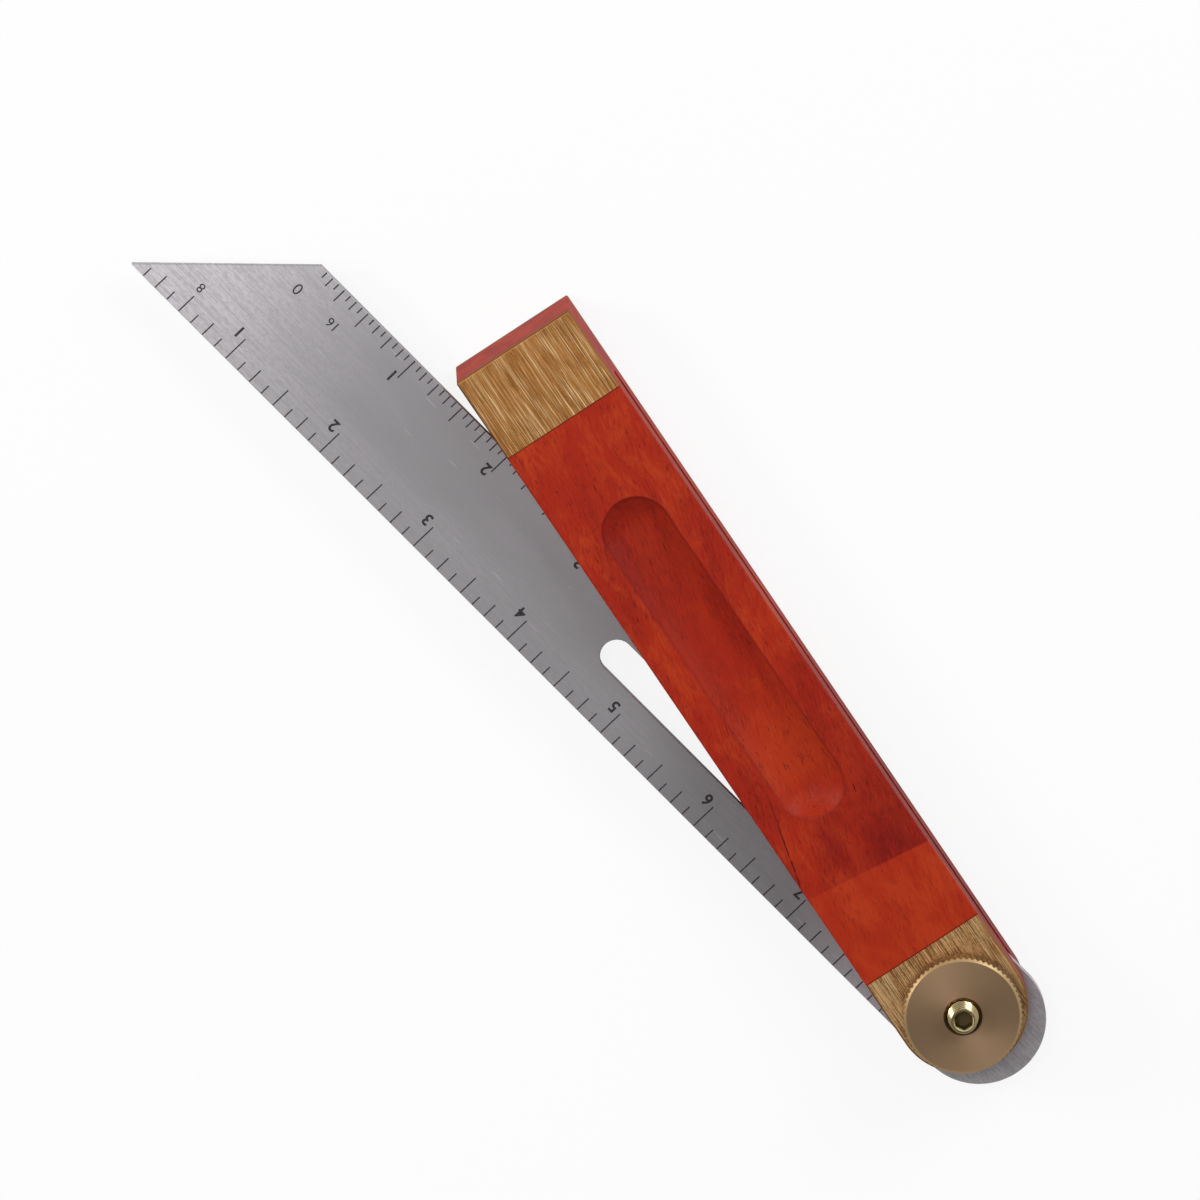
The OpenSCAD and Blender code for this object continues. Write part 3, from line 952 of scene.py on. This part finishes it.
class BEVEL_OT_stud(bpy.types.Operator):
    """Builds the brass stud with its flush head, thread and hex socket"""
    bl_idname = "sliding_bevel.stud"
    bl_label = "Stud"

    def execute(self, context):
        look = context.scene.bevel_clamp
        outer, head_top = look.stud_radius / MM, look.head_height / MM
        lead, taken, chamfer = (v / MM for v in (look.lead_length, look.lead_depth,
                                                 look.end_chamfer))
        turn, fine = full_turn(144), 0.0625     # fine: height between thread rings
        angle = np.radians(turn)[:, None]
        rise = np.append(np.arange(look.thread_from / MM, STUD_TOP - 0.02, fine),
                         STUD_TOP)
        radius = outer - thread_cut(angle, rise, look) * np.clip(rise - rise[0], 0, 1)
        radius -= taken * np.clip((rise - STUD_TOP) / lead + 1, 0, 1)
        radius = np.minimum(radius, outer - taken - chamfer + (STUD_TOP - rise))
        worn = 0.2          # chamfer on both edges of the head
        head = [(0, 0), (STUD_HEAD_R - worn, 0), (STUD_HEAD_R, worn),
                (STUD_HEAD_R, head_top - worn), (STUD_HEAD_R - worn, head_top),
                (outer, head_top)]
        flat, sixth = look.hex_flats / MM / 2, math.pi / 3
        hexagon = flat / np.cos((angle + sixth / 2) % sixth - sixth / 2)
        deep = STUD_TOP - look.hex_depth / MM
        socket = [(np.maximum(hexagon, look.hex_mouth / MM - down), STUD_TOP - down)
                  for down in np.linspace(0, 0.4, 5)]
        socket += [(hexagon, deep), (0, deep)]
        shell = Shell()
        shell.grid(spun(turn, *profile(angle, head, radius, rise, socket)), loop=True)
        stud = shell.piece("brass_stud", "stock", "stud_brass",
                           bright_brass(context.scene.bevel_brass, look), 40.0)
        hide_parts("clamp_stud")
        return {"FINISHED"}


class BEVEL_OT_nut(bpy.types.Operator):
    """Builds the round thumb nut with straight teeth cut into its rim"""
    bl_idname = "sliding_bevel.nut"
    bl_label = "Knurled nut"

    def execute(self, context):
        look = context.scene.bevel_clamp
        low, high = NUT_BOTTOM + look.nut_gap / MM, NUT_TOP
        rim_r, bevel = look.nut_radius / MM, look.chamfer / MM
        boss_h, boss_r, bore, mouth = 0.6, NUT_WASHER_R, 3.05, 0.65
        per_tooth = 8       # points round each tooth
        phase = np.arange(look.teeth * per_tooth)[:, None] / per_tooth
        saw = 1 - np.abs(2 * ((phase + 0.5) % 1) - 1)
        crest = rim_r - look.tooth / MM * (1 - np.clip(saw * 1.12, 0, 1))
        slope = np.linspace(0, bevel, 9)
        envelope = np.concatenate([rim_r - bevel + slope, [rim_r] * 4, rim_r - slope])
        flank = np.linspace(low + boss_h + bevel, high - bevel, 6)[1:-1]
        level = np.concatenate([low + boss_h + slope, flank, high - bevel + slope])
        under = [(bore, low), (boss_r - 0.1, low), (boss_r, low + 0.1),
                 (boss_r, low + boss_h)]
        over = [(r, high) for r in np.linspace(rim_r - bevel, bore + mouth, 12)[1:]]
        over += [(bore + 0.45, high - 0.2), (bore, high - mouth), (bore, low)]
        shell = Shell()
        shell.grid(spun(full_turn(len(phase)), *profile(
            phase, under, np.minimum(envelope, crest), level, over)), loop=True)
        nut = shell.piece("brass_nut", "nut", "nut_brass",
                          turned_brass(context.scene.bevel_brass, look), 28.0)
        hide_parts("knurled_nut")
        return {"FINISHED"}


class BEVEL_OT_washers(bpy.types.Operator):
    """Builds the brass washer under the nut and the two thin ones beside the blade"""
    bl_idname = "sliding_bevel.washers"
    bl_label = "Washers"

    def execute(self, context):
        steel = plain_steel()
        brass = bright_brass(context.scene.bevel_brass, context.scene.bevel_clamp)
        thin = ("blade_washers", "washer_steel", steel, 3.05, 0.05)
        rings = {"nut_washer": ("nut_washer", "plate_brass", brass, 3.2, 0.1),
                 "blade_washer_front": thin, "blade_washer_back": thin}
        for node, (body, slot, material, hole, edge) in rings.items():
            (_, _, low), (outer, _, high) = node_box(node)
            path = [(hole, low + edge), (hole, high - edge), (hole + edge, high),
                    (outer - edge, high), (outer, high - edge), (outer, low + edge),
                    (outer - edge, low), (hole + edge, low), (hole, low + edge)]
            shell = Shell()
            shell.grid(spun(full_turn(128), *np.array(path).T), loop=True)
            ring = shell.piece("ring_" + node, body, slot, material)
            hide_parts(node)
        return {"FINISHED"}


# ---------------- floor, light, camera

def floor_finish(look):
    """Pale floor that shows as white to the eye and keeps a soft part of the object's
    shadow; metal reflects it dimmer."""
    f = new_finish("pale_floor")
    camera, glossy, through = (f.add("LightPath", output=f"Is {name} Ray")
                               for name in ("Camera", "Glossy", "Transmission"))
    matt = f.add("BsdfDiffuse", {"Color": (*look.floor, 1.0)})
    glow = f.add("Emission", {"Color": (1, 1, 1, 1),
                              "Strength": 1 - glossy * (1 - look.mirrored)})
    seen = f.most(camera, f.most(glossy, through))
    return f.end("Material", f.add("MixShader", {0: seen * look.white, 1: matt,
                                                 2: glow}))


def soft_sky(look):
    """Sky that goes from a zenith strength to a horizon strength, with the horizon
    brighter on the +X -Y side."""
    f = Finish(bpy.data.worlds.new("soft_sky"))
    aim = f.add("TexCoord", output="Generated")
    low = (1 - f.step(f.part(aim, "Z"), 0.0, 1.0)) ** 1.3
    facing = f.part(aim, "X") * 0.71 - f.part(aim, "Y") * 0.71
    side = f.step(facing, -0.8, 0.9, look.horizon_far, look.horizon_near)
    return f.end("World", f.add("Background", {
        "Color": (1, 1, 1, 1), "Strength": look.zenith * (1 - low) + side * low}))


MIDDLE = (0.08, 0.01, 0.01)     # what the lamps are turned to
LAMPS = (("box_right", (0.28, -0.80, 0.66), 0.42, 4.2),     # name, place, size, watts
         ("box_left", (0.76, 0.58, 0.66), 0.42, 4.6),
         ("sheen", (0.34, 0.04, 0.92), 0.34, 2.0))
CAMERA = ((-0.551951, 0.810708, 0.195199, 0.770995),
          (-0.833643, -0.542005, -0.106162, -0.349225),
          (0.019733, -0.221322, 0.975001, 3.343608),
          (0.0, 0.0, 0.0, 1.0))


def add_lamp(name, place, size, watts):
    """A square area lamp."""
    lamp = bpy.data.lights.new(name, "AREA")
    lamp.shape, lamp.size, lamp.energy = "SQUARE", size, watts
    holder = put(name, lamp)
    holder.location = place
    away = np.subtract(place, MIDDLE)
    holder.rotation_euler = Vector(away).to_track_quat("Z", "Y").to_euler()


class BEVEL_OT_stage(bpy.types.Operator):
    """Adds the pale floor, the soft studio light and the camera"""
    bl_idname = "sliding_bevel.stage"
    bl_label = "Stage"

    def execute(self, context):
        scene, look = context.scene, context.scene.bevel_stage
        mesh = bpy.data.meshes.new("floor")
        far, under = 12.0, -0.00004
        mesh.from_pydata([(-far, -far, under), (far, -far, under), (far, far, under),
                          (-far, far, under)], [], [(0, 1, 2, 3)])
        mesh.materials.append(floor_finish(look))
        floor = put("floor", mesh)

        scene.world = soft_sky(look)
        for lamp in LAMPS:
            add_lamp(*lamp)
        lens = bpy.data.cameras.new("camera")
        lens.lens, lens.sensor_width = look.lens, 36.0
        lens.clip_start, lens.clip_end = 0.1, 100.0
        scene.camera = put("camera", lens)
        scene.camera.matrix_world = Matrix(CAMERA)
        scene.view_settings.view_transform = "Standard"
        return {"FINISHED"}


# ---------------- add-on parts

class BEVEL_PT_panel(bpy.types.Panel):
    """Sizes, colours and builders of the sliding bevel"""
    bl_label = "Sliding bevel"
    bl_idname = "BEVEL_PT_panel"
    bl_space_type = "VIEW_3D"
    bl_region_type = "UI"
    bl_category = "Bevel"

    def draw(self, context):
        for group, _, operators in PARTS:
            box = self.layout.box()
            for operator in operators:
                box.operator(operator.bl_idname)
            settings = getattr(context.scene, group)
            for name in settings.__annotations__:
                box.prop(settings, name)


PARTS = (("bevel_stock", BEVEL_PG_stock, (BEVEL_OT_stock,)),
         ("bevel_brass", BEVEL_PG_brass, (BEVEL_OT_plates,)),
         ("bevel_blade", BEVEL_PG_blade, (BEVEL_OT_blade, BEVEL_OT_marks)),
         ("bevel_clamp", BEVEL_PG_clamp,
          (BEVEL_OT_stud, BEVEL_OT_nut, BEVEL_OT_washers)),
         ("bevel_stage", BEVEL_PG_stage, (BEVEL_OT_stage,)))
OPERATORS = [operator for _, _, group in PARTS for operator in group]
CLASSES = [*(settings for _, settings, _ in PARTS), *OPERATORS, BEVEL_PT_panel]


def register():
    for cls in CLASSES:
        bpy.utils.register_class(cls)
    for name, settings, _ in PARTS:
        setattr(bpy.types.Scene, name, PointerProperty(type=settings))


def unregister():
    for name, _, _ in PARTS:
        delattr(bpy.types.Scene, name)
    for cls in reversed(CLASSES):
        bpy.utils.unregister_class(cls)


def main():
    register()
    for operator in OPERATORS:
        getattr(bpy.ops.sliding_bevel, operator.bl_idname.split(".")[1])()


if __name__ == "__main__":
    main()
